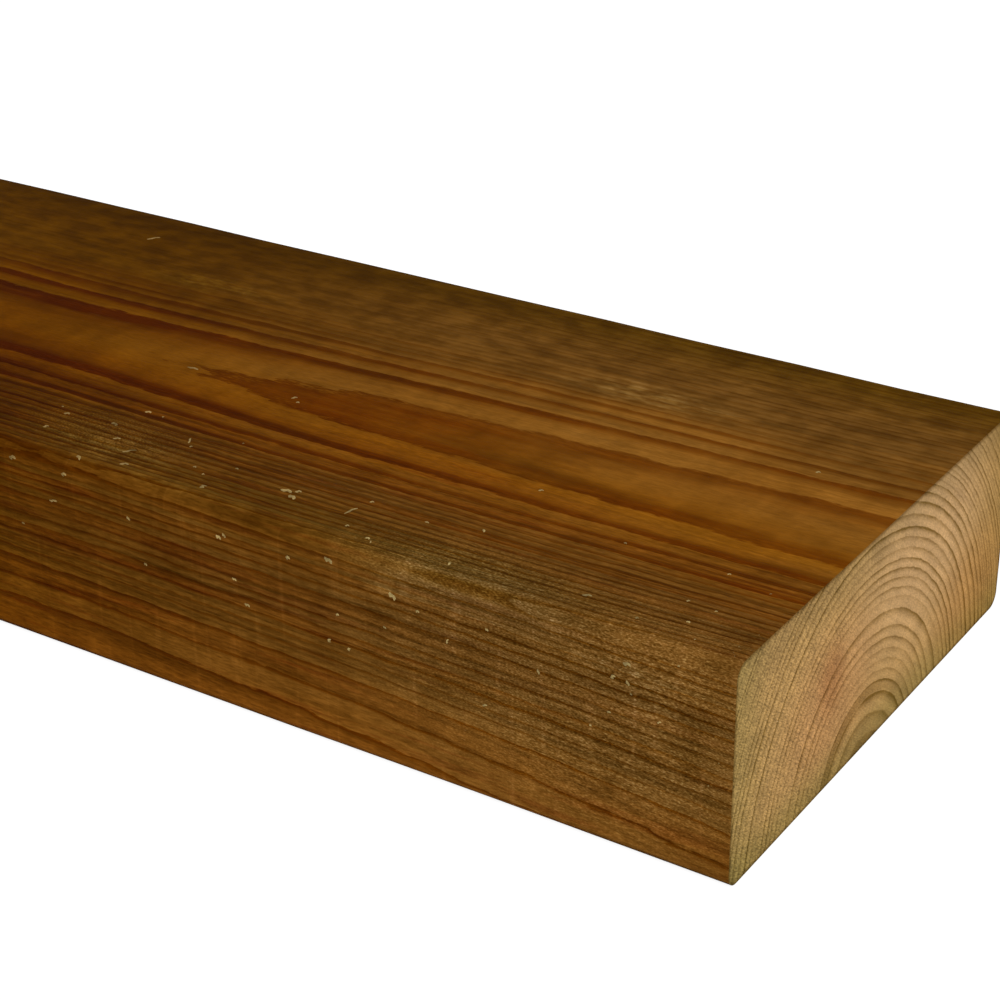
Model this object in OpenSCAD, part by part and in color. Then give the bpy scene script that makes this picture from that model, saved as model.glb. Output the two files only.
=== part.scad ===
// Treated softwood timber stud: one length of sawn and regularised timber.
//
// The stud lies on its wide face. X runs along the grain, Y across the wide
// face and Z up through the thickness. The origin is the centre of the
// underside, so the stud spans half its length and half its width each way.

/* [Stock] */
// Length, cut square at both ends
stud_length = 2400; // [600:100:6000]
// Width of the wide face
stud_width = 120; // [70:5:300]
// Thickness, the width of the narrow edge
stud_thickness = 45; // [20:1:100]

/* [Eased arrises] */
// Radius planed onto the four long corners
arris_radius = 3; // [1:0.5:8]

/* [Hidden] */

// Segments that draw one full turn of an arris
arris_segments = 64;

// Centres of the arris arcs, measured from the middle of the underside
arc_y = stud_width / 2 - arris_radius;
arc_z_low = arris_radius;
arc_z_high = stud_thickness - arris_radius;

// Sawn cross-section: two crossing rectangles leave the corners open, and a
// disc in each corner closes it with a quarter-round arris.
module section() {
  translate([-arc_y, 0])
    square([2 * arc_y, stud_thickness]);
  translate([-stud_width / 2, arc_z_low])
    square([stud_width, arc_z_high - arc_z_low]);
  for (y = [-arc_y, arc_y], z = [arc_z_low, arc_z_high])
    translate([y, z])
      circle(r = arris_radius, $fn = arris_segments);
}

// The section run along the grain, then laid down with its width level
module stud() {
  color("#7A4E1E")
    translate([-stud_length / 2, 0, 0])
      rotate([90, 0, 90])
        linear_extrude(height = stud_length)
          section();
}

stud();
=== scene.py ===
"""A treated softwood stud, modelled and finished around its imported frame."""

import math
import random
from types import SimpleNamespace

import bpy
from bpy.props import FloatProperty, FloatVectorProperty, PointerProperty
from mathutils import Euler, Matrix, Vector


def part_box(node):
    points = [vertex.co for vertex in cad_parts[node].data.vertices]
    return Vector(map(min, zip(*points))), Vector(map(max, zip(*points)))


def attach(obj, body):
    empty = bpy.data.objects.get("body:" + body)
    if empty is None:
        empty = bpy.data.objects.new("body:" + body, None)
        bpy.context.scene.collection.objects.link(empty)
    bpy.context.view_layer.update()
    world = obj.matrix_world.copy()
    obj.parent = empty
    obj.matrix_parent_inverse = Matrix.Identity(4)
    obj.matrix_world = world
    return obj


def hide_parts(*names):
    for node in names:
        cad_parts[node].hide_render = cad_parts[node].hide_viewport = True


bl_info = {
    "name": "Timber stud",
    "version": (1, 0, 0),
    "blender": (4, 5, 0),
    "location": "View3D > Sidebar > Timber",
    "description": "Models a treated softwood stud whose grain is cut from one solid log",
    "category": "Mesh",
}

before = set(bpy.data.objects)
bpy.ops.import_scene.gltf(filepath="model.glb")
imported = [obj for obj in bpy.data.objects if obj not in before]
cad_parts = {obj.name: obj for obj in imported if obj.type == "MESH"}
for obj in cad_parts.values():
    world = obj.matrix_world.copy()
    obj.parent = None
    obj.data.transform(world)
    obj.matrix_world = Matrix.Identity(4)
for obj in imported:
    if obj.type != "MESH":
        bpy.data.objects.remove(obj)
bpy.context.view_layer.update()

MM = 0.001  # metres in a millimetre
LOW, HIGH = (Vector(corner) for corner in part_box("stud"))
SIZE = HIGH - LOW
MIDDLE = (LOW + HIGH) / 2
ARRIS_STEPS = 8  # faces round each arris
SHARP = math.radians(35)  # angle between two faces past which their edge stays sharp
LENGTHWISE = 0.7  # a direction whose share along the grain is more than this follows it
HOLLOW = 35.0  # width in mm of the shallow hollows in the long faces
MAP_ENDS = 0.28  # height of the two ends on the stud's map, of 1
MAP_GAP = 0.012  # gap between its parts

# The log that the stud was sawn from, in mm. Places in it are counted from the
# middle of the stud's underside at its +X end.
PITH = (0.0, -5.5, -8.8)  # the log's centre at that end, just under the stud
PITH_DRIFT = (0.0, 0.0135, 0.0277)  # how far the pith moves for each mm of length
TAPER = 0.0003  # share by which the rings widen for each mm of length
GRAIN_WAVE = 140.0  # length over which drift and taper swing back
SWAY = (0.0, 0.011, 0.011)  # wander of the pith for each mm from that end
SWAY_GROWS = 450.0  # length past which it wanders no further
SWAY_LENGTH = 260.0  # length over which it wanders
OVAL = 0.914  # width of a ring beside its height
FLAT_SIDE = (0.0, math.sin(0.413), math.cos(0.413))  # towards the log's flatter side
FLATNESS = 0.061  # how much closer the rings lie on that side
CROWDING = (0.0, -0.012, 0.0)  # and how much closer on the near side
# Spells of even growth from the pith out: how many years, the mm of wood in each, and
# how dark their latewood is
GROWTH = (
    (1, 11.6, 0.4),
    (1, 4.3, 0.6),
    (1, 4.4, 0.9),
    (1, 2.5, 0.8),
    (3, 2.2, 0.25),
    (2, 2.35, 0.55),
    (1, 3.7, 0.7),
    (1, 2.6, 0.1),
    (2, 2.0, 0.45),
    (2, 1.95, 0.7),
    (2, 2.2, 0.35),
    (1, 2.2, 1.0),
    (1, 2.5, 0.5),
    (1, 2.6, 0.8),
    (1, 1.95, 0.7),
    (1, 2.0, 0.75),
    (1, 1.15, 0.3),
    (1, 1.0, 0.1),
    (1, 1.2, 0.65),
    (1, 1.0, 0.3),
    (1, 1.35, 0.55),
    (1, 1.15, 0.1),
    (1, 1.4, 0.4),
    (1, 1.3, 0.6),
    (1, 1.25, 0.9),
    (2, 0.85, 0.1),
    (1, 1.2, 0.6),
    (1, 1.1, 0.3),
    (1, 1.9, 0.55),
    (3, 1.5, 0.3),
    (1, 2.5, 0.6),
    (3, 1.4, 0.3),
    (2, 2.3, 0.5),
    (4, 1.4, 0.3),
    (6, 2.0, 0.5),
)
WAVER = (((70, 9, 9), 0.25, 5.1), ((9, 2.5, 2.5), 0.28, 9.3))  # size, mm of shift and seed
RING_SEED = 13945.0  # draws each year's tone
RAYS = 120.0  # rays beside each other in one radian of the log
SAW_SLANT = math.radians(37)  # how far the saw's marks on the ends lean
PALE_END_LENGTH = 220.0  # how far from a sawn end the timber is paler, partly dried and partly painted light
EVEN_LENGTH = 50.0  # and how much of that is evenly pale
YEARS = sum(years for years, _, _ in GROWTH)
BARK = sum(years * width for years, width, _ in GROWTH)  # radius of the last ring
HEARTWOOD = 57.0  # radius from which heartwood gives way to sapwood
CHANGEOVER = 18.0  # and how many mm that takes

# Names of nodes. A Mix node's inputs go by number: 0 is its factor, 2 and 3 are the two
# numbers and 6 and 7 the two colours that it mixes
MATH, VECTOR, MIX = "ShaderNodeMath", "ShaderNodeVectorMath", "ShaderNodeMix"
RAMP, RANGE = "ShaderNodeValToRGB", "ShaderNodeMapRange"
AXES, OUTPUT = "ShaderNodeSeparateXYZ", "ShaderNodeOutputMaterial"
COLOUR = {"data_type": "RGBA", "output": 2}  # how a Mix node is set to mix colours
SMOOTH = {"interpolation_type": "SMOOTHSTEP"}  # how a Map Range node eases in and out
STAIN = (1.0, 1.12, 1.6)  # how much more a brown stain varies in green and in blue
GLOSS = 0.005  # sawn and planed wood that has dried mirrors next to nothing
# Where handling has roughed the fibres up and where dust has settled on them: the middle
# of each place and its reach
SCUFFS = (
    ((-22, -60, 30), (80, 26, 42)),
    ((-54, -56, 46), (46, 16, 13)),
    ((-150, -46, 45), (30, 14, 10)),
)
DUST = (
    ((-143, -51, 45), (26, 8, 8)),
    ((-102, -48, 45), (5, 2.2, 3)),
    ((-128, -57.3, 45), (42, 1.6, 3)),
    ((-183, 28, 45), (24, 6, 7)),
    ((-70, -60, 39), (8, 4, 4)),
    ((-22, -60, 37), (14, 5, 4)),
    ((-66, 27, 45), (26, 7, 7)),
)
# The slivers that stand out, on the top and then on the near side: the place from the
# +X end and across or up, the turn from the grain in degrees, the length and the width
TOP_SLIVERS = (
    (-155.8, -11.8, 5, 4.0, 0.7),
    (-128, -12.5, 60, 1.6, 0.5),
    (-126, -14.0, 20, 1.0, 0.5),
    (-162.7, -43.3, 20, 2.0, 0.9),
    (-162, -50.2, 65, 1.7, 1.0),
    (-146.7, -57.3, -30, 2.2, 0.8),
    (-124.5, -48.7, 0, 1.1, 0.6),
    (-86.4, -42.7, 40, 1.1, 0.5),
    (-149, -34, 15, 2.2, 0.9),
    (-151, -42, -20, 3.0, 1.0),
    (-146, -47, 35, 2.4, 0.7),
    (-140, -50, 50, 4.0, 0.6),
    (-137, -55, 30, 2.5, 0.8),
    (-133, -40, -60, 3.5, 0.5),
    (-103, -47.5, 10, 3.2, 1.1),
    (-100.5, -49, -15, 2.6, 1.2),
    (-100.8, -46.6, 40, 1.6, 0.8),
    (-87.6, -47.7, 78, 4.0, 0.5),
    (-117.6, -54.5, 80, 1.9, 1.1),
    (-84.6, -53, 30, 1.1, 0.6),
    (-78.5, -55, 0, 1.4, 0.7),
    (-33.6, -52, 25, 2.2, 0.6),
    (-62, -21.8, 40, 1.4, 0.5),
    (-215, 44.5, 55, 5.0, 0.8),
    (-21, 13, 30, 1.3, 0.5),
)
SIDE_SLIVERS = (
    (-162.5, 41.8, 15, 2.2, 1.0),
    (-148.8, 41.6, 20, 1.6, 0.9),
    (-152.5, 34.8, 15, 2.4, 0.6),
    (-110, 38.5, -10, 1.6, 0.9),
    (-93.5, 38.8, 20, 1.2, 0.9),
    (-84, 41, -15, 2.6, 1.1),
    (-69.8, 37.7, -35, 2.6, 1.1),
    (-64.3, 36.2, 0, 1.1, 0.6),
    (-104, 25.6, -5, 1.7, 0.7),
    (-84.7, 23.8, 70, 1.1, 0.8),
    (-80.2, 23.3, 60, 0.9, 0.7),
    (-82.5, 30, 20, 1.0, 0.6),
    (-21, 39, 10, 2.0, 0.9),
    (-23.7, 35.6, 50, 1.3, 0.8),
    (-20.7, 35.3, -50, 1.4, 0.6),
)
# The cross-sections of a crooked sliver a mm long: the place along it, then its width, its
# shift sideways and how much of its thickness it sinks into the face
SLIVER_RINGS = (
    (-0.5, 0.08, 0.25, 0.7),
    (-0.32, 0.45, 0.05, 0.3),
    (-0.1, 0.8, -0.1, 0.1),
    (0.08, 0.5, 0.2, 0.0),
    (0.28, 0.65, -0.05, 0.2),
    (0.5, 0.1, -0.3, 0.7),
)
STREWN = 150  # small slivers strewn at random
STREWN_TOP = (-57, -30)  # the band of the top where they lie, in mm from its middle
STREWN_SIDE = (20, 42)  # and the band of the near side, in mm up from its foot
STREWN_GAP = 2.0  # mm that they keep from the sawn ends
STREWN_TURN = 35.0  # how far they turn from the grain, in degrees
STREWN_LENGTH = (0.5, 1.4)  # shortest and longest, in mm
STREWN_WIDTH = (0.3, 0.6)
SLIVER_SEED = 4

# The stage
FLOOR_WIDTH = 60.0  # in metres, so that no edge of it comes into view
FLOOR_GLOW = 1.22  # how brightly the floor glows for the camera; 1 is white
GLOW_SHARE = 0.72  # share of the floor's look that glows; the rest takes the shadows
SKY = 0.6  # strength of the sky that lights the stud from all round
SKY_SEEN = 0.65  # what the camera sees is stronger by this much
SOFTBOX = (0.5, -0.7, 0.77)  # the way towards the softbox
SOFTBOX_SPREAD = math.radians(37)  # how wide it looks from the stud
SOFTBOX_STRENGTH = 2.05  # in watts for each square metre
LENS = 82.7  # focal length in mm
SENSOR = 36.0  # width in mm
CAMERA = (145.2, -351.45, 239.75)  # mm from the middle of the underside's +X edge
CAMERA_TURN = (33.3, 26.82, -0.6)  # degrees that it turns left, looks down and rolls
PATHS = ("Is Camera Ray", "Is Glossy Ray", "Is Transmission Ray")


def linear(colour):
    """The linear values of an sRGB hex colour such as #7A4E1E."""
    parts = [int(colour[i : i + 2], 16) / 255 for i in (1, 3, 5)]
    return [p / 12.92 if p <= 0.04045 else ((p + 0.055) / 1.055) ** 2.4 for p in parts]


def add(tree, kind, inputs=(), output=0, stops=None, points=None, **settings):
    """Adds a node and returns one of its outputs, if it has any. Inputs are in order or
    by key: a socket is linked and a value is set. Stops fill a ramp, and points a curve."""
    node = tree.nodes.new(kind)
    for name, setting in settings.items():
        setattr(node, name, setting)
    pairs = inputs.items() if isinstance(inputs, dict) else enumerate(inputs)
    for key, value in pairs:
        if isinstance(value, bpy.types.NodeSocket):
            tree.links.new(value, node.inputs[key])
        else:
            node.inputs[key].default_value = value
    if stops:
        elements = node.color_ramp.elements
        for _ in stops[2:]:
            elements.new(0.5)
        for element, (place, grey) in zip(elements, stops):
            element.position, element.color = place, (grey, grey, grey, 1)
    if points:
        curve = node.mapping.curves[0]
        for _ in points[2:]:
            curve.points.new(0.5, 0.5)
        for point, place in zip(curve.points, points):
            point.location, point.handle_type = place, "VECTOR"
        node.mapping.update()
    return node.outputs[output] if node.outputs else None


def patches(tree, place, size, seed=0.0, detail=2.0):
    """Random patches, from 0 to 1, that measure size mm in x, y and z."""
    inputs = (place, [1 / s for s in size], [seed] * 3)
    cells = add(tree, VECTOR, inputs, operation="MULTIPLY_ADD")
    noise = {"Vector": cells, "Scale": 1.0, "Detail": detail}
    noise = add(tree, "ShaderNodeTexNoise", noise)
    return add(tree, RANGE, (noise, 0.25, 0.75))


def spot(tree, place, centre, size):
    """A soft spot: 1 at its centre and 0 past size mm from it in x, y and z."""
    inputs = (place, [1 / s for s in size], [-c / s for c, s in zip(centre, size)])
    offset = add(tree, VECTOR, inputs, operation="MULTIPLY_ADD")
    reach = add(tree, VECTOR, (offset,), output="Value", operation="LENGTH")
    return add(tree, RANGE, (reach, 1.0, 0.2), **SMOOTH)


def spots(tree, place, marks):
    """Several soft spots, each a centre and a size."""
    mask = 0.0
    for centre, size in marks:
        mask = add(tree, MATH, (spot(tree, place, centre, size), mask), operation="MAXIMUM")
    return mask


def vary(tree, colour, pattern, depth, stain=(1, 1, 1)):
    """Darkens a colour by the share depth where the pattern is 0 and lightens it by as
    much where it is 1. A stain varies the red, green and blue by different amounts."""
    steps = [2 * depth * s for s in stain]
    shade = (pattern, steps, [1 - step / 2 for step in steps])
    shade = add(tree, VECTOR, shade, operation="MULTIPLY_ADD")
    return add(tree, VECTOR, (colour, shade), operation="MULTIPLY")


def tint(tree, colour, mask, shade):
    """Multiplies a colour by a shade where the mask is 1."""
    filtered = add(tree, MIX, {0: mask, 6: (1, 1, 1, 1), 7: (*shade, 1)}, **COLOUR)
    return add(tree, VECTOR, (colour, filtered), operation="MULTIPLY")


def log_place(tree, metres):
    """The place in the log in mm, from a place in the frame in metres."""
    end = [-HIGH.x / MM, -MIDDLE.y / MM, -LOW.z / MM]
    inputs = (metres, [1 / MM] * 3, end)
    return add(tree, VECTOR, inputs, operation="MULTIPLY_ADD")


def from_pith(tree, place, along, swing):
    """The way from the pith to a place in the log, in mm, as if the rings weren't oval."""
    pith = add(tree, VECTOR, (swing, PITH_DRIFT, PITH), operation="MULTIPLY_ADD")
    sway = {"W": along, "Scale": 1 / SWAY_LENGTH, "Detail": 1.0}
    sway = add(tree, "ShaderNodeTexNoise", sway, output="Color", noise_dimensions="1D")
    sway = add(tree, VECTOR, (sway, SWAY, [-s / 2 for s in SWAY]), operation="MULTIPLY_ADD")
    growing = add(tree, MATH, (along, -SWAY_GROWS), operation="MAXIMUM")
    pith = add(tree, VECTOR, (sway, growing, pith), operation="MULTIPLY_ADD")
    spoke = add(tree, VECTOR, (place, pith), operation="SUBTRACT")
    return add(tree, VECTOR, (spoke, (0.0, 1 / OVAL, 1.0)), operation="MULTIPLY")


def even_radius(tree, place, spoke, way, swing):
    """How far from the pith a place would be, in mm, if every ring were round and even."""
    reach = add(tree, VECTOR, (spoke,), output="Value", operation="LENGTH")
    lean = add(tree, VECTOR, (way, FLAT_SIDE), output="Value", operation="DOT_PRODUCT")
    lean = add(tree, MATH, (lean, 0.0), operation="MAXIMUM")
    lean = add(tree, MATH, (lean, 4.0), operation="POWER")
    crowd = add(tree, VECTOR, (way, CROWDING), output="Value", operation="DOT_PRODUCT")
    lean = add(tree, MATH, (lean, FLATNESS, crowd), operation="MULTIPLY_ADD")
    taper = add(tree, MATH, (swing, TAPER, 1.0), operation="MULTIPLY_ADD")
    radius = add(tree, MATH, (reach, lean, reach), operation="MULTIPLY_ADD")
    radius = add(tree, MATH, (radius, taper), operation="MULTIPLY")
    for size, shift, seed in WAVER:
        waver = patches(tree, place, size, seed)
        waver = add(tree, MATH, (waver, shift, -shift / 2), operation="MULTIPLY_ADD")
        radius = add(tree, MATH, (radius, waver), operation="ADD")
    return radius


def count_years(tree, radius):
    """For a radius: how far it is through its year's growth, how dark that year's
    latewood is, and the year's random tone."""
    points, darkness, age, width = [(0.0, 0.0)], [], 0, 0.0
    for years, mm, dark in GROWTH:
        darkness += [((age + 0.1) / YEARS, dark), ((age + years - 0.1) / YEARS, dark)]
        age, width = age + years, width + years * mm
        points.append((width / BARK, age / YEARS))
    share = add(tree, MATH, (radius, BARK), operation="DIVIDE")
    year = add(tree, "ShaderNodeFloatCurve", (1.0, share), points=points)
    year = add(tree, MATH, (year, YEARS), operation="MULTIPLY")
    season = add(tree, MATH, (year,), operation="FRACT")
    ring = add(tree, MATH, (year,), operation="FLOOR")
    share = add(tree, MATH, (ring, 1 / YEARS, 0.5 / YEARS), operation="MULTIPLY_ADD")
    dark = add(tree, "ShaderNodeFloatCurve", (1.0, share), points=darkness)
    ring = add(tree, MATH, (ring, RING_SEED), operation="ADD")
    tone = add(tree, "ShaderNodeTexWhiteNoise", {"W": ring}, noise_dimensions="1D")
    return season, dark, tone


def growth_rings(tree, place):
    """For a place in the log: its distance from the pith in mm, as if the rings were
    round, its direction from there, how far it is through its year's growth, how dark
    that year's latewood is, and the year's random tone."""
    along = add(tree, AXES, (place,))
    swing = add(tree, MATH, (along, GRAIN_WAVE), operation="DIVIDE")
    swing = add(tree, MATH, (swing,), operation="SINE")
    swing = add(tree, MATH, (swing, GRAIN_WAVE), operation="MULTIPLY")
    spoke = from_pith(tree, place, along, swing)
    way = add(tree, VECTOR, (spoke,), operation="NORMALIZE")
    radius = even_radius(tree, place, spoke, way, swing)
    return radius, way, *count_years(tree, radius)


def empty_tree(owner):
    """The node tree of a new material or world, without the nodes that it starts with."""
    owner.use_nodes = True
    owner.node_tree.nodes.clear()
    return owner.node_tree


def new_wood(name):
    """An empty material and its tree, with the object's place in the log."""
    material = bpy.data.materials.new(name)
    tree = empty_tree(material)
    place = log_place(tree, add(tree, "ShaderNodeTexCoord", output="Object"))
    return material, tree, place


def finish_wood(tree, colour, roughness, height):
    """Ends a wood's tree: its colour, its roughness and its relief, height in mm."""
    relief = add(tree, "ShaderNodeBump", {"Distance": MM, "Height": height})
    inputs = {
        "Base Color": colour,
        "Roughness": roughness,
        "Specular IOR Level": GLOSS,
        "Specular Tint": (*linear("#C89A60"), 1),
        "Normal": relief,
    }
    shader = add(tree, "ShaderNodeBsdfPrincipled", inputs)
    add(tree, OUTPUT, {"Surface": shader})


def planed_places(tree, place, radius):
    """Where the planed faces differ, each as a mask from 0 to 1."""
    where = SimpleNamespace()
    along, across = (add(tree, AXES, (place,), output=axis) for axis in "XY")
    # The planer tore the fibres on the near side of the timber
    torn = patches(tree, place, (60, 12, 12), seed=4.4)
    torn = add(tree, MATH, (torn, 14.0, across), operation="MULTIPLY_ADD")
    where.torn = add(tree, RANGE, (torn, -6.0, -32.0), **SMOOTH)
    # Handling roughed them up into fuzz, and elsewhere they are calm
    where.scuffs = spots(tree, place, SCUFFS)
    where.calm = add(tree, RANGE, (where.scuffs, 0.0, 1.0, 1.0, 0.3))
    # Paler by the sawn ends: partly dried wood, partly painted light that fades along the stud
    half = SIZE.x / MM / 2
    dry = add(tree, MATH, (along, half), operation="ADD")
    dry = add(tree, MATH, (dry,), operation="ABSOLUTE")
    where.dry = add(tree, RANGE, (dry, half - PALE_END_LENGTH, half - EVEN_LENGTH), **SMOOTH)
    # The narrow faces took up the salts more evenly than the wide ones, so that the
    # heartwood shows less on them
    half = SIZE.y / MM / 2
    narrow = add(tree, MATH, (across,), operation="ABSOLUTE")
    where.narrow = add(tree, RANGE, (narrow, half - 12, half), **SMOOTH)
    blur = patches(tree, place, (40, 7, 7), seed=2.2)
    heart = add(tree, MATH, (blur, 8.0, radius), operation="MULTIPLY_ADD")
    heart = add(tree, RANGE, (heart, HEARTWOOD + CHANGEOVER, HEARTWOOD), **SMOOTH)
    even = add(tree, RANGE, (where.narrow, 0.0, 1.0, 1.0, 0.45))
    where.heart = add(tree, MATH, (heart, even), operation="MULTIPLY")
    # The salts have clouded the smooth sapwood of the far side, where few of the rings stay
    # clear, though more of them near a dried end
    sap = add(tree, RANGE, (where.heart, 1.0, 0.0))
    cloud = add(tree, RANGE, (across, 8.0, 26.0), **SMOOTH)
    where.cloud = add(tree, MATH, (cloud, sap), operation="MULTIPLY")
    clear = add(tree, RANGE, (where.dry, 0.3, 1.0, 0.92, 0.5))
    clear = add(tree, MATH, (clear, where.cloud), operation="MULTIPLY")
    where.clear = add(tree, RANGE, (clear, 1.0, 0.0))
    return where


def planed_latewood(tree, place, season, dark, thread, where):
    """How dark the latewood is on a planed face, from 0 to 1."""
    along, up = (add(tree, AXES, (place,), output=axis) for axis in "XZ")
    # How much of the year is left. It counts slower far from the end, where the latewood is
    # broader, and faster on the narrow faces, above all near their foot, where the rings
    # meet them almost flat
    ragged = add(tree, MATH, (thread, -0.1, 1.05), operation="MULTIPLY_ADD")
    left = add(tree, MATH, (ragged, season), operation="SUBTRACT")
    pace = add(tree, RANGE, (along, -20.0, -200.0, 1.0, 0.6))
    pace = add(tree, MATH, (where.narrow, 0.4, pace), operation="MULTIPLY_ADD")
    low = add(tree, RANGE, (up, 22.0, 5.0, 0.0, 2.6))
    pace = add(tree, MATH, (where.narrow, low, pace), operation="MULTIPLY_ADD")
    left = add(tree, MATH, (left, pace), operation="MULTIPLY")
    stops = ((0.0, 0.5), (0.03, 1.0), (0.2, 0.92), (0.3, 0.5), (0.42, 0.2), (0.6, 0.0))
    late = add(tree, RAMP, (left,), stops=stops)
    weight = add(tree, MATH, (dark, 0.7, 0.55), operation="MULTIPLY_ADD")
    # Each line darkens and fades along its way
    smoke = patches(tree, place, (28, 2.5, 2.5), seed=5.8)
    smoke = add(tree, MATH, (smoke, 0.5, 0.75), operation="MULTIPLY_ADD")
    late = add(tree, MATH, (late, smoke), operation="MULTIPLY")
    late = add(tree, MATH, (late, weight), operation="MULTIPLY", use_clamp=True)
    # Drying fades the lines a little, and so do the salts on the narrow faces
    faded = add(tree, MATH, (where.dry, where.narrow), operation="MAXIMUM")
    faded = add(tree, RANGE, (faded, 0.0, 1.0, 1.0, 0.82))
    late = add(tree, MATH, (late, faded), operation="MULTIPLY")
    return add(tree, MATH, (late, where.clear), operation="MULTIPLY")


def ring_colours(tree, looks, late, tone, where):
    """The colours of the treated wood, with the late wood as dark lines."""
    sides = {0: where.heart, 6: (*looks.sapwood, 1), 7: (*looks.heartwood, 1)}
    early = add(tree, MIX, sides, **COLOUR)
    early = vary(tree, early, tone, 0.08)
    # Some years are russet where the fibres are torn, but hardly where they stand as fuzz
    russet = add(tree, RANGE, (tone, 0.45, 0.8), **SMOOTH)
    russet = add(tree, MATH, (russet, where.torn), operation="MULTIPLY")
    russet = add(tree, MATH, (russet, where.calm), operation="MULTIPLY")
    early = tint(tree, early, russet, (0.95, 0.82, 0.65))
    sides = {0: where.heart, 6: (*looks.sap_line, 1), 7: (*looks.heart_line, 1)}
    deep = add(tree, MIX, sides, **COLOUR)
    colour = add(tree, MIX, {0: late, 6: early, 7: deep}, **COLOUR)
    colour = tint(tree, colour, late, (1.0, 0.93, 0.5))
    colour = tint(tree, colour, where.narrow, (1.04, 1.07, 1.1))
    return tint(tree, colour, where.torn, (0.84, 0.78, 0.65))


def stain_wood(tree, place, colour, where):
    """Stains the planed wood where resin, damp and salts have gathered."""
    # The heartwood is a deeper amber along the near side of the pith
    amber = spot(tree, place, (0, -23, 45), (1e6, 22, 80))
    amber = add(tree, MATH, (amber, where.heart), operation="MULTIPLY")
    colour = tint(tree, colour, amber, (0.88, 0.8, 0.35))
    # A damp streak below the upper near arris, more salts on it and a greyer place
    colour = tint(tree, colour, spot(tree, place, (-90, -60, 31), (160, 9, 9)), (0.84, 0.83, 0.84))
    colour = tint(tree, colour, spot(tree, place, (-95, -55, 47), (95, 13, 10)), (0.9, 1.01, 0.9))
    colour = tint(tree, colour, spot(tree, place, (-51, -60, 43), (32, 9, 7)), (0.96, 1.08, 1.5))
    # The salts gathered along the top of the far edge
    across, up = (add(tree, AXES, (place,), output=axis) for axis in "YZ")
    far = add(tree, RANGE, (across, 34.0, 60.0), **SMOOTH)
    high = add(tree, RANGE, (up, 20.0, 42.0), **SMOOTH)
    far = add(tree, MATH, (far, high), operation="MULTIPLY")
    return tint(tree, colour, far, (0.57, 0.56, 0.1))


def mottle_and_paint_sheen(tree, place, colour, where):
    """Varies the planed wood's tone slowly, with a painted sheen of fibres that dip and rise,
    and in small mottles where the salts dried in drops on the clouded sapwood."""
    colour = vary(tree, colour, patches(tree, place, (120, 14, 14), seed=7.7), 0.1)
    # Painted sheen: lighter and darker patches where the fibres dip and rise
    painted_sheen = patches(tree, place, (7, 15, 9), seed=6.6, detail=3.0)
    colour = vary(tree, colour, painted_sheen, 0.19, STAIN)
    drops = patches(tree, place, (8, 3.6, 4), seed=1.9, detail=3.0)
    drops = add(tree, RANGE, (drops, 0.25, 0.75))
    drops = add(tree, MIX, {0: where.cloud, 2: 0.5, 3: drops})
    return vary(tree, colour, drops, 0.2, STAIN)


def draw_fibres(tree, place, colour, lines, thread, where):
    """Draws the fine lines and the fibres, which show most where they are torn and least
    in the clouded sapwood. It returns the colour and the fibres as they show."""
    shown = add(tree, MATH, (where.torn, 0.3, 0.4), operation="MULTIPLY_ADD")
    plain = add(tree, RANGE, (where.clear, 0.0, 1.0, 0.3, 1.0))
    plain = add(tree, MATH, (plain, shown), operation="MULTIPLY")
    colour = vary(tree, colour, add(tree, MIX, {0: plain, 2: 0.5, 3: lines}), 0.4, STAIN)
    # Dark streaks where the torn fibres drank the treatment
    streak = patches(tree, place, (32, 1.6, 1.6), seed=3.9, detail=3.0)
    streak = add(tree, RANGE, (streak, 0.55, 0.9), **SMOOTH)
    streak = add(tree, MATH, (streak, where.torn), operation="MULTIPLY")
    streak = add(tree, MATH, (streak, where.calm), operation="MULTIPLY")
    colour = tint(tree, colour, streak, (0.8, 0.62, 0.55))
    calmer = add(tree, RANGE, (where.clear, 0.0, 1.0, 0.5, 1.0))
    calmer = add(tree, MATH, (calmer, shown), operation="MULTIPLY")
    threads = add(tree, MIX, {0: calmer, 2: 0.5, 3: thread})
    return vary(tree, colour, threads, 0.42, STAIN), threads


def raise_fuzz(tree, place, colour, where):
    """Draws the fuzz of lifted fibres, coarser than it is so that it shows, with paler
    tips. It returns the colour and the fuzz."""
    grit = patches(tree, place, (0.55, 0.22, 0.22), seed=2.8)
    grits = add(tree, MIX, {0: where.scuffs, 2: 0.5, 3: grit})
    colour = vary(tree, colour, grits, 0.62, STAIN)
    colour = tint(tree, colour, where.scuffs, (1.1, 1.23, 1.7))
    tips = add(tree, RANGE, (grit, 0.62, 0.95))
    tips = add(tree, MATH, (tips, where.scuffs), operation="MULTIPLY")
    return tint(tree, colour, tips, (1.3, 1.6, 2.2)), grits


def dust_and_foot_shade(tree, place, colour, where):
    """Paints shade on the lowest edges, where the stud meets the floor, lays dust on the roughest
    places, and lets faint marks of the saw show through the planing on the narrow faces."""
    up = add(tree, AXES, (place,), output="Z")
    # Painted shade: the lowest 2 mm darken towards the floor, as the contact shadow under the
    # arrises
    painted_contact_shade = add(tree, RANGE, (up, 2.2, 0.8), **SMOOTH)
    colour = tint(tree, colour, painted_contact_shade, (0.32, 0.35, 0.45))
    mark = patches(tree, place, (1.6, 1e3, 30), seed=9.4)
    mark = add(tree, RANGE, (mark, 0.68, 1.0))
    mark = add(tree, MATH, (mark, where.narrow), operation="MULTIPLY")
    colour = tint(tree, colour, mark, (1.22, 1.25, 1.5))
    dust = patches(tree, place, (4, 1.6, 1.6), seed=5.5, detail=3.0)
    dust = add(tree, RANGE, (dust, 0.35, 0.85))
    dust = add(tree, MATH, (spots(tree, place, DUST), dust), operation="MULTIPLY")
    return tint(tree, colour, dust, (1.65, 2.0, 3.0))


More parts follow.
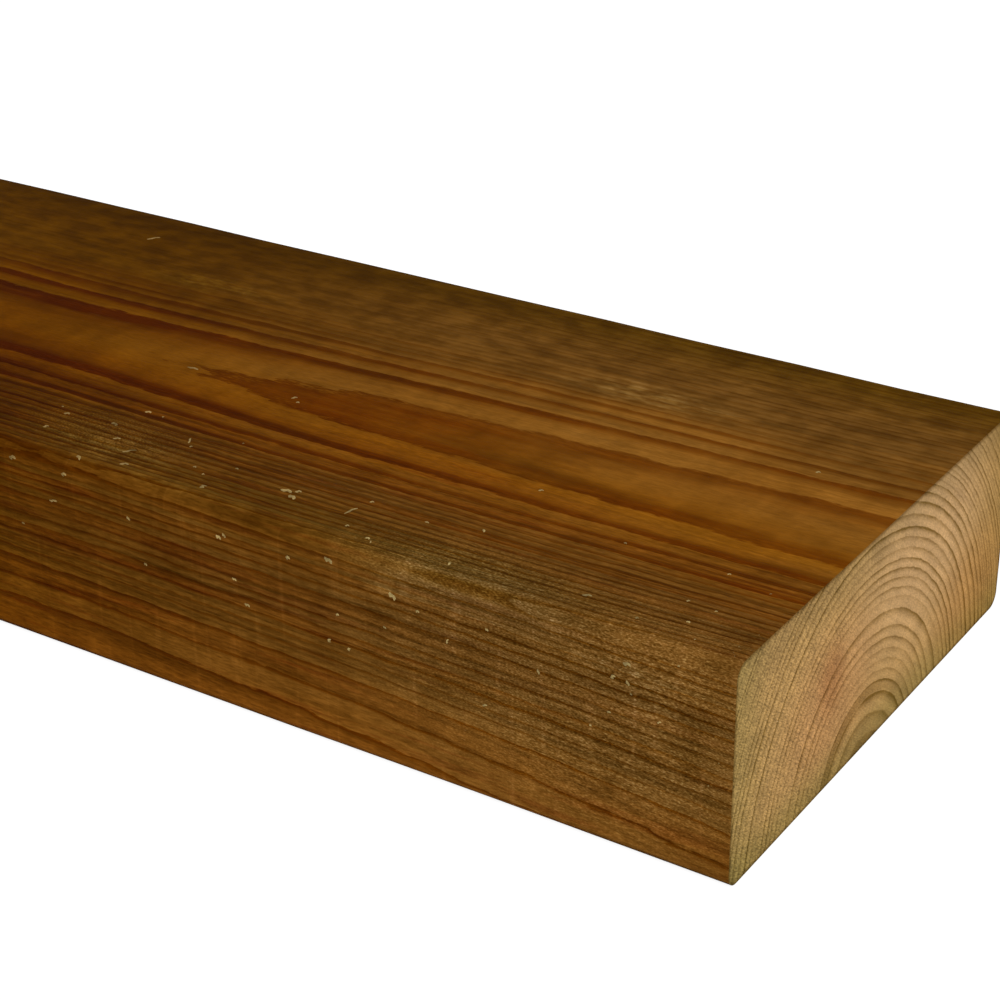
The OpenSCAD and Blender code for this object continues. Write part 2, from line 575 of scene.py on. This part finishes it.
def planed_softwood(looks):
    """Pine planed on four sides and pressure treated: brown heartwood, sapwood gone
    olive with copper salts, dark latewood lines and a painted sheen like that of dried planed
    wood."""
    material, tree, place = new_wood("planed_treated_softwood")
    radius, _, season, dark, tone = growth_rings(tree, place)
    where = planed_places(tree, place, radius)
    # Lines in each year's wood, which keep to the rings
    polar = add(tree, "ShaderNodeCombineXYZ", (add(tree, AXES, (place,)), radius))
    lines = patches(tree, polar, (70, 0.5, 1), seed=1.3, detail=3.0)
    lines = add(tree, RANGE, (lines, 0.1, 0.6))
    # Fibres, which are really 0.03 mm thick and are drawn as coarse as they need to show
    thread = patches(tree, place, (2.2, 0.4, 0.4), seed=8.1)
    late = planed_latewood(tree, place, season, dark, thread, where)

    colour = ring_colours(tree, looks, late, tone, where)
    colour = stain_wood(tree, place, colour, where)
    colour = mottle_and_paint_sheen(tree, place, colour, where)
    colour, threads = draw_fibres(tree, place, colour, lines, thread, where)
    colour, grits = raise_fuzz(tree, place, colour, where)
    # The wood by the sawn ends is paler: partly dried, partly painted light that fades along the
    # stud
    colour = tint(tree, colour, where.dry, (1.7, 2.07, 15.5))
    colour = dust_and_foot_shade(tree, place, colour, where)

    # The relief in mm: hard latewood stands proud, and lines, fibres and fuzz lie over it
    ridge = add(tree, MATH, (late, 0.06), operation="MULTIPLY")
    height = add(tree, MATH, (lines, 0.03, ridge), operation="MULTIPLY_ADD")
    height = add(tree, MATH, (threads, 0.13, height), operation="MULTIPLY_ADD")
    height = add(tree, MATH, (grits, 0.06, height), operation="MULTIPLY_ADD")
    finish_wood(tree, colour, 0.65, height)
    return material


def skin(tree, place, radius):
    """For a place on a sawn end: 0 inside, rising to 1 over the last mm to the edge."""
    half = SIZE.yz / MM / 2 - Vector((radius, radius))
    middle = (0, 0, -SIZE.z / MM / 2)
    offset = add(tree, VECTOR, (place, middle), operation="ADD")
    offset = add(tree, VECTOR, (offset,), operation="ABSOLUTE")
    offset = add(tree, VECTOR, (offset, (1e5, *half)), operation="SUBTRACT")
    offset = add(tree, VECTOR, (offset, (0, 0, 0)), operation="MAXIMUM")
    reach = add(tree, VECTOR, (offset,), output="Value", operation="LENGTH")
    return add(tree, RANGE, (reach, radius - 1.1, radius), **SMOOTH)


def end_latewood(tree, place, radius, season, dark, near):
    """How dark the latewood is on a sawn end, from 0 to 1. It is darker on the far side
    than on the near one."""
    across = add(tree, AXES, (place,), output="Y")
    far = add(tree, RANGE, (across, -10.0, 20.0), **SMOOTH)
    stops = ((0.0, 0.6), (0.08, 0.05), (0.45, 0.0), (0.75, 0.5), (0.92, 1.0))
    late = add(tree, RAMP, (season,), stops=stops)
    weight = add(tree, MATH, (dark, 0.95, 0.1), operation="MULTIPLY_ADD")
    weight = add(tree, MATH, (far, 0.12, weight), operation="MULTIPLY_ADD")
    weight = add(tree, MATH, (near, -0.08, weight), operation="MULTIPLY_ADD")
    late = add(tree, MATH, (late, weight), operation="MULTIPLY")
    smoke = patches(tree, place, (1, 7, 7), seed=8.8)
    smoke = add(tree, MATH, (smoke, 0.8, 0.6), operation="MULTIPLY_ADD")
    late = add(tree, MATH, (late, smoke), operation="MULTIPLY", use_clamp=True)
    # Except on the far side, the fourth year's wood is brown all through
    band = add(tree, RANGE, (radius, 19.8, 20.8), **SMOOTH)
    band = add(tree, MATH, (band, add(tree, RANGE, (radius, 23.1, 22.5))), operation="MULTIPLY")
    band = add(tree, MATH, (band, add(tree, RANGE, (far, 1.0, 0.0))), operation="MULTIPLY")
    band = add(tree, MATH, (band, 0.6), operation="MULTIPLY")
    return add(tree, MATH, (late, band), operation="MAXIMUM")


def end_tones(tree, place, colour, radius):
    """Tints the sawn end where the wood and the damp differ."""
    across, up = (add(tree, AXES, (place,), output=axis) for axis in "YZ")
    # The wood by the pith is darker, the upper middle is pale and the foot olive
    core = add(tree, RANGE, (radius, 16.5, 8.0), **SMOOTH)
    colour = tint(tree, colour, core, (0.82, 0.78, 0.78))
    pale = spot(tree, place, (0, 20, 33), (1e3, 44, 30))
    colour = tint(tree, colour, pale, (1.2, 1.22, 1.5))
    low = add(tree, RANGE, (up, 11.0, 1.0), **SMOOTH)
    colour = tint(tree, colour, low, (0.72, 0.8, 0.7))
    # A rosy patch with a red heart lies on the near side of the pith
    blush = spot(tree, place, (0, -22, 19), (1e3, 26, 22))
    colour = tint(tree, colour, blush, (1.02, 0.92, 0.97))
    colour = tint(tree, colour, spot(tree, place, (0, -22, 23), (1e3, 8, 11)), (0.88, 0.79, 0.76))
    # Towards its edges the end is olive on the near side, dim at the top and damp on the
    # far side, with a warmer place low down there
    olive = add(tree, RANGE, (across, -44.0, -60.0), **SMOOTH)
    colour = tint(tree, colour, olive, (0.84, 0.92, 0.84))
    rim = add(tree, RANGE, (up, 34.0, 45.0), **SMOOTH)
    colour = tint(tree, colour, rim, (0.78, 0.8, 0.8))
    damp = add(tree, RANGE, (across, 34.0, 58.0), **SMOOTH)
    colour = tint(tree, colour, damp, (0.88, 0.86, 0.75))
    return tint(tree, colour, spot(tree, place, (0, 44, 9), (1e3, 26, 22)), (1.0, 0.9, 0.82))


def sawn_end_grain(looks, radius_mm):
    """The same timber cut across: pale wood that the treatment hardly entered, with
    the rings as dark arcs, rays as fine spokes and the saw's slanting marks."""
    material, tree, place = new_wood("sawn_end_grain")
    radius, way, season, dark, tone = growth_rings(tree, place)
    near = add(tree, AXES, (place,), output="Y")
    near = add(tree, RANGE, (near, 5.0, -40.0), **SMOOTH)
    # Rays run out from the pith. Torn pores follow the saw's marks, and are drawn coarser
    # than the real 0.05 mm so that they show
    polar = add(tree, "ShaderNodeCombineXYZ", (radius,))
    polar = add(tree, VECTOR, (way, [RAYS] * 3, polar), operation="MULTIPLY_ADD")
    ray = patches(tree, polar, (7, 1, 1), seed=1.7)
    turned = {"Vector": place, "Rotation": (SAW_SLANT, 0, 0)}
    turned = add(tree, "ShaderNodeMapping", turned)
    saw = patches(tree, turned, (1e3, 40, 0.7), seed=3.3, detail=3.0)
    pore = patches(tree, turned, (1, 1.0, 0.28), seed=4.2)

    late = end_latewood(tree, place, radius, season, dark, near)
    sides = {0: late, 6: (*looks.end_wood, 1), 7: (*looks.end_line, 1)}
    colour = add(tree, MIX, sides, **COLOUR)
    colour = vary(tree, colour, tone, 0.04)
    colour = end_tones(tree, place, colour, radius)
    # The pores are torn more roughly on the near side
    grain = add(tree, MATH, (near, 0.32, 0.18), operation="MULTIPLY_ADD")
    grains = add(tree, MIX, {0: grain, 2: 0.5, 3: pore})
    colour = vary(tree, colour, grains, 1.0)
    colour = vary(tree, colour, ray, 0.1)
    colour = vary(tree, colour, saw, 0.1)
    colour = vary(tree, colour, patches(tree, place, (1, 8, 8), seed=6.1), 0.12)
    colour = tint(tree, colour, skin(tree, place, radius_mm), (0.5, 0.45, 0.35))

    # The relief in mm
    height = add(tree, MATH, (pore, 0.1), operation="MULTIPLY")
    height = add(tree, MATH, (late, 0.05, height), operation="MULTIPLY_ADD")
    height = add(tree, MATH, (saw, 0.05, height), operation="MULTIPLY_ADD")
    finish_wood(tree, colour, 0.8, height)
    return material


def torn_pine_fibre(looks):
    """Slivers torn loose in the mill, which the treatment left straw pale, with dusty,
    split and quite matt fibres."""
    material, tree, place = new_wood("torn_pine_fibre")
    colour = vary(tree, list(looks.fleck), patches(tree, place, (4, 4, 4), seed=7.1), 0.6)
    split = patches(tree, place, (1.2, 0.25, 0.25), seed=3.7)
    colour = vary(tree, colour, split, 0.25)
    # Those far from the sawn end are darker: partly deeper treatment, partly painted shade where
    # the light falls off along the stud
    along = add(tree, AXES, (place,))
    deep = add(tree, RANGE, (along, -70.0, -170.0))
    colour = tint(tree, colour, deep, (0.74, 0.65, 0.58))
    finish_wood(tree, colour, 0.85, add(tree, MATH, (split, 0.1), operation="MULTIPLY"))
    return material


def seen(tree):
    """1 for what the camera sees, straight or in a gloss or through glass."""
    paths = [add(tree, "ShaderNodeLightPath", output=name) for name in PATHS]
    first = add(tree, MATH, paths[:2], operation="MAXIMUM")
    return add(tree, MATH, (first, paths[2]), operation="MAXIMUM")


def white_floor():
    """A matt white floor that glows for the camera and still shows a faint shadow."""
    material = bpy.data.materials.new("white_floor")
    tree = empty_tree(material)
    lit = add(tree, "ShaderNodeBsdfDiffuse", {"Color": (*linear("#E7E7E7"), 1)})
    glow = add(tree, "ShaderNodeEmission", {"Strength": FLOOR_GLOW})
    share = add(tree, MATH, (seen(tree), GLOW_SHARE), operation="MULTIPLY")
    mixed = add(tree, "ShaderNodeMixShader", (share, lit, glow))
    add(tree, OUTPUT, {"Surface": mixed})
    return material


class StudSizes(bpy.types.PropertyGroup):
    """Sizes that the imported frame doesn't give."""

    arris_radius: FloatProperty(
        name="Arris radius",
        description="Radius planed onto the four long corners",
        default=3 * MM,
        subtype="DISTANCE",
        unit="LENGTH",
    )
    strip: FloatProperty(
        name="Strip width",
        description="Width of the faces that run along the grain",
        default=1.5 * MM,
        subtype="DISTANCE",
        unit="LENGTH",
    )
    slice: FloatProperty(
        name="Slice length",
        description="Length of the faces along the grain",
        default=8 * MM,
        subtype="DISTANCE",
        unit="LENGTH",
    )
    waviness: FloatProperty(
        name="Waviness",
        description="Depth of the hollows that the planer and drying leave",
        default=0.3 * MM,
        subtype="DISTANCE",
        unit="LENGTH",
    )
    sliver: FloatProperty(
        name="Sliver thickness",
        description="Thickness of the slivers of torn wood that lie on the faces",
        default=0.35 * MM,
        subtype="DISTANCE",
        unit="LENGTH",
    )


def colour_property(name, description, colour):
    """A colour to set, which starts as an sRGB hex colour."""
    return FloatVectorProperty(
        name=name, description=description, default=linear(colour), subtype="COLOR", size=3
    )


class StudLooks(bpy.types.PropertyGroup):
    """Colours of the timber."""

    heartwood: colour_property("Heartwood", "Early wood near the pith, planed", "#673A02")
    heart_line: colour_property("Heartwood line", "Late wood near the pith, planed", "#451900")
    sapwood: colour_property("Sapwood", "Early wood near the bark, planed", "#523002")
    sap_line: colour_property("Sapwood line", "Late wood near the bark, planed", "#3A1800")
    end_wood: colour_property("End wood", "Early wood on the sawn ends", "#BC955D")
    end_line: colour_property("End line", "Late wood on the sawn ends", "#7C5D2A")
    fleck: colour_property("Fleck", "Flecks of torn wood", "#A08A58")


def start_mesh(primitive, **place):
    """Adds a primitive as the only selected object and opens it for editing."""
    bpy.ops.object.select_all(action="DESELECT")
    primitive(**place)
    bpy.ops.object.transform_apply(location=True, rotation=True, scale=True)
    bpy.ops.object.mode_set(mode="EDIT")
    return bpy.context.object


class STUD_OT_timber(bpy.types.Operator):
    """Cuts the stud to size, eases its arrises and gives it its wood"""

    bl_idname = "stud.timber"
    bl_label = "Stud timber"

    def execute(self, context):
        sizes, looks = context.scene.stud_sizes, context.scene.stud_looks
        piece = start_mesh(bpy.ops.mesh.primitive_cube_add, size=1, location=MIDDLE, scale=SIZE)
        piece.name = "stud_timber"
        self.ease_arrises(piece, sizes.arris_radius)
        self.cut_strips(sizes)
        self.cut_slices(piece, sizes.slice)
        bpy.ops.object.mode_set(mode="OBJECT")
        self.carve_hollows(piece, sizes.waviness)
        bpy.ops.object.shade_smooth_by_angle(angle=SHARP)
        self.finish_ends(context, piece, looks)
        self.unroll(piece)
        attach(piece, "root")
        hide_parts("stud")
        return {"FINISHED"}

    def select_long_edges(self, piece):
        """Selects the edges that run along the grain."""
        bpy.ops.mesh.select_all(action="DESELECT")
        bpy.ops.object.mode_set(mode="OBJECT")
        vertices = piece.data.vertices
        for edge in piece.data.edges:
            first, second = (vertices[i].co for i in edge.vertices)
            edge.select = abs((second - first).normalized().x) > LENGTHWISE
        bpy.ops.object.mode_set(mode="EDIT")

    def ease_arrises(self, piece, radius):
        """Rounds the four long corners."""
        bpy.ops.mesh.select_mode(type="EDGE")
        self.select_long_edges(piece)
        bpy.ops.mesh.bevel(offset=radius, segments=ARRIS_STEPS, profile=0.5, affect="EDGES")

    def cut_strips(self, sizes):
        """Cuts planes along the grain, so that long faces and ends get a grid."""
        radius = sizes.arris_radius
        for axis in (Vector((0, 1, 0)), Vector((0, 0, 1))):
            start, end = LOW.dot(axis) + radius, HIGH.dot(axis) - radius
            count = round((end - start) / sizes.strip)
            for i in range(count + 1):
                place = MIDDLE + axis * (start + (end - start) * i / count - MIDDLE.dot(axis))
                bpy.ops.mesh.select_all(action="SELECT")
                bpy.ops.mesh.bisect(plane_co=place, plane_no=axis)

    def cut_slices(self, piece, length):
        """Cuts the long edges across the grain, so that slow waves can be carved."""
        self.select_long_edges(piece)
        bpy.ops.mesh.subdivide(number_cuts=round(SIZE.x / length) - 1)

    def carve_hollows(self, piece, depth):
        """Presses shallow hollows into the long faces and leaves the ends full size."""
        inner = piece.vertex_groups.new(name="long faces")
        reach = SIZE.x / 2 - MM
        points = [p.index for p in piece.data.vertices if abs(p.co.x - MIDDLE.x) < reach]
        inner.add(points, 1.0, "REPLACE")
        clouds = bpy.data.textures.new("hollows", "CLOUDS")
        clouds.noise_scale = HOLLOW * MM
        hollows = piece.modifiers.new("hollows", "DISPLACE")
        hollows.texture, hollows.vertex_group = clouds, inner.name
        hollows.strength, hollows.mid_level = depth, 1.0
        bpy.ops.object.modifier_apply(modifier=hollows.name)
        piece.vertex_groups.clear()
        bpy.data.textures.remove(clouds)

    def unroll(self, piece):
        """Lays the long faces out as strips above each other on a map, with the two
        ends below them at a larger scale."""
        uv = piece.data.uv_layers.new(name="OFBake").uv
        girth = 2 * (SIZE.y + SIZE.z) + 4 * MAP_GAP * SIZE.y
        starts, start = {}, MAP_ENDS
        for side, width in (("top", SIZE.y), ("low", SIZE.y), ("near", SIZE.z), ("far", SIZE.z)):
            starts[side] = start
            start += (width + MAP_GAP * SIZE.y) / girth * (1 - MAP_ENDS)
        for face in piece.data.polygons:
            normal = face.normal
            for loop in face.loop_indices:
                place = piece.data.vertices[piece.data.loops[loop].vertex_index].co - LOW
                share = Vector(place[i] / SIZE[i] for i in range(3))
                if abs(normal.x) > LENGTHWISE:
                    column = 0.0 if normal.x > 0 else 0.5
                    point = (column + share.y * (0.5 - MAP_GAP), share.z * (MAP_ENDS - MAP_GAP))
                elif abs(normal.z) > abs(normal.y):
                    side = "top" if normal.z > 0 else "low"
                    point = (share.x, starts[side] + place.y / girth * (1 - MAP_ENDS))
                else:
                    side = "far" if normal.y > 0 else "near"
                    point = (share.x, starts[side] + place.z / girth * (1 - MAP_ENDS))
                uv[loop].vector = point

    def finish_ends(self, context, piece, looks):
        """Gives the planed faces one wood and the two sawn ends the other."""
        radius = context.scene.stud_sizes.arris_radius / MM
        for material in (planed_softwood(looks), sawn_end_grain(looks, radius)):
            piece.data.materials.append(material)
        for face in piece.data.polygons:
            face.material_index = int(abs(face.normal.x) > LENGTHWISE)


class STUD_OT_slivers(bpy.types.Operator):
    """Lays slivers of torn wood in the hollows of the top and the near side"""

    bl_idname = "stud.slivers"
    bl_label = "Slivers"

    def execute(self, context):
        first = self.model_sliver(context.scene.stud_sizes.sliver)
        chance = random.Random(SLIVER_SEED)
        top = Matrix.Translation((HIGH.x, MIDDLE.y, HIGH.z))
        near = Matrix.Translation((HIGH.x, LOW.y, LOW.z)) @ Matrix.Rotation(math.pi / 2, 4, "X")
        bpy.ops.object.select_all(action="DESELECT")
        for face, slivers in ((top, TOP_SLIVERS), (near, SIDE_SLIVERS)):
            for sliver in slivers:
                self.lay(first, face, *sliver)
        for _ in range(STREWN):
            face, band = chance.choice(((top, STREWN_TOP), (near, STREWN_SIDE)))
            # The square draws them towards the +X end
            along = -STREWN_GAP - (SIZE.x / MM - 2 * STREWN_GAP) * chance.random() ** 2
            place, turn = chance.uniform(*band), chance.gauss(0, STREWN_TURN)
            length, width = chance.uniform(*STREWN_LENGTH), chance.uniform(*STREWN_WIDTH)
            self.lay(first, face, along, place, turn, length, width)
        bpy.data.objects.remove(first)
        piece = context.selected_objects[0]
        context.view_layer.objects.active = piece
        bpy.ops.object.join()
        piece.name = "torn_slivers"
        piece.data.materials.append(torn_pine_fibre(context.scene.stud_looks))
        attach(piece, "root")
        return {"FINISHED"}

    def model_sliver(self, thickness):
        """A sliver a mm long and wide that narrows and sinks towards both tips."""
        middle = (0, 0, -thickness / 2)
        scale = (MM, MM, thickness)
        piece = start_mesh(bpy.ops.mesh.primitive_cube_add, size=1, location=middle, scale=scale)
        for place, _, _, _ in SLIVER_RINGS[1:-1]:
            bpy.ops.mesh.select_all(action="SELECT")
            bpy.ops.mesh.bisect(plane_co=(place * MM, 0, 0), plane_no=(1, 0, 0))
        for place, width, shift, drop in SLIVER_RINGS:
            self.select_ring(piece, place * MM)
            bpy.ops.transform.resize(value=(1, width, 1))
            bpy.ops.transform.translate(value=(0, shift * MM, -drop * thickness))
        bpy.ops.object.mode_set(mode="OBJECT")
        return piece

    def select_ring(self, piece, along):
        """Selects the vertices of the cross-section at a place along the sliver."""
        bpy.ops.mesh.select_mode(type="VERT")
        bpy.ops.mesh.select_all(action="DESELECT")
        bpy.ops.object.mode_set(mode="OBJECT")
        for point in piece.data.vertices:
            point.select = abs(point.co.x - along) < 0.01 * MM
        bpy.ops.object.mode_set(mode="EDIT")

    def lay(self, first, face, along, place, turn, length, width):
        """Lays a copy, with its own mesh, at a place on a face."""
        copy = first.copy()
        copy.data = first.data.copy()
        move = Matrix.Translation((along * MM, place * MM, 0))
        turned = Matrix.Rotation(math.radians(turn), 4, "Z")
        copy.data.transform(face @ move @ turned @ Matrix.Diagonal((length, width, 1, 1)))
        bpy.context.collection.objects.link(copy)
        copy.select_set(True)


class STUD_OT_stage(bpy.types.Operator):
    """Sets the floor, the soft lights and the camera"""

    bl_idname = "stud.stage"
    bl_label = "Stage"

    def execute(self, context):
        context.scene.view_settings.view_transform = "Standard"
        self.add_floor()
        self.add_lights(context)
        self.add_camera(context)
        return {"FINISHED"}

    def add_floor(self):
        """Lays the floor that the stud lies on."""
        plane = bpy.ops.mesh.primitive_plane_add
        floor = start_mesh(plane, size=FLOOR_WIDTH, location=(0, 0, LOW.z))
        bpy.ops.object.mode_set(mode="OBJECT")
        floor.name = "floor"
        floor.data.materials.append(white_floor())

    def add_lights(self, context):
        """Hangs an even sky and one softbox above the camera."""
        world = bpy.data.worlds.new("studio")
        tree = empty_tree(world)
        strength = add(tree, MATH, (seen(tree), SKY_SEEN, SKY), operation="MULTIPLY_ADD")
        light = add(tree, "ShaderNodeBackground", {"Strength": strength})
        add(tree, "ShaderNodeOutputWorld", {"Surface": light})
        context.scene.world = world
        lamp = bpy.data.lights.new("softbox", "SUN")
        lamp.angle, lamp.energy = SOFTBOX_SPREAD, SOFTBOX_STRENGTH
        holder = bpy.data.objects.new("softbox", lamp)
        holder.location = SOFTBOX
        holder.rotation_euler = holder.location.to_track_quat("Z", "Y").to_euler()
        context.collection.objects.link(holder)

    def add_camera(self, context):
        """Sets the camera off the near side of the +X end, looking down along the stud."""
        lens = bpy.data.cameras.new("camera")
        lens.lens, lens.sensor_width = LENS, SENSOR
        camera = bpy.data.objects.new("camera", lens)
        camera.location = Vector((HIGH.x, MIDDLE.y, LOW.z)) + Vector(CAMERA) * MM
        left, down, roll = (math.radians(angle) for angle in CAMERA_TURN)
        turn = Euler((math.pi / 2 - down, 0, left)).to_matrix()
        camera.rotation_euler = (turn @ Matrix.Rotation(roll, 3, "Z")).to_euler()
        context.collection.objects.link(camera)
        context.scene.camera = camera


class STUD_PT_panel(bpy.types.Panel):
    """Lists the stud's operators and their settings"""

    bl_idname = "STUD_PT_panel"
    bl_label = "Timber stud"
    bl_space_type = "VIEW_3D"
    bl_region_type = "UI"
    bl_category = "Timber"

    def draw(self, context):
        for operator in OPERATORS:
            self.layout.operator(operator.bl_idname)
        for group in (context.scene.stud_sizes, context.scene.stud_looks):
            for name in group.__annotations__:
                self.layout.prop(group, name)


OPERATORS = (STUD_OT_stage, STUD_OT_timber, STUD_OT_slivers)
CLASSES = (StudSizes, StudLooks, *OPERATORS, STUD_PT_panel)


def register():
    for one in CLASSES:
        bpy.utils.register_class(one)
    bpy.types.Scene.stud_sizes = PointerProperty(type=StudSizes)
    bpy.types.Scene.stud_looks = PointerProperty(type=StudLooks)


def unregister():
    del bpy.types.Scene.stud_sizes
    del bpy.types.Scene.stud_looks
    for one in reversed(CLASSES):
        bpy.utils.unregister_class(one)


def main():
    register()
    bpy.ops.stud.stage()
    bpy.ops.stud.timber()
    bpy.ops.stud.slivers()


if __name__ == "__main__":
    main()
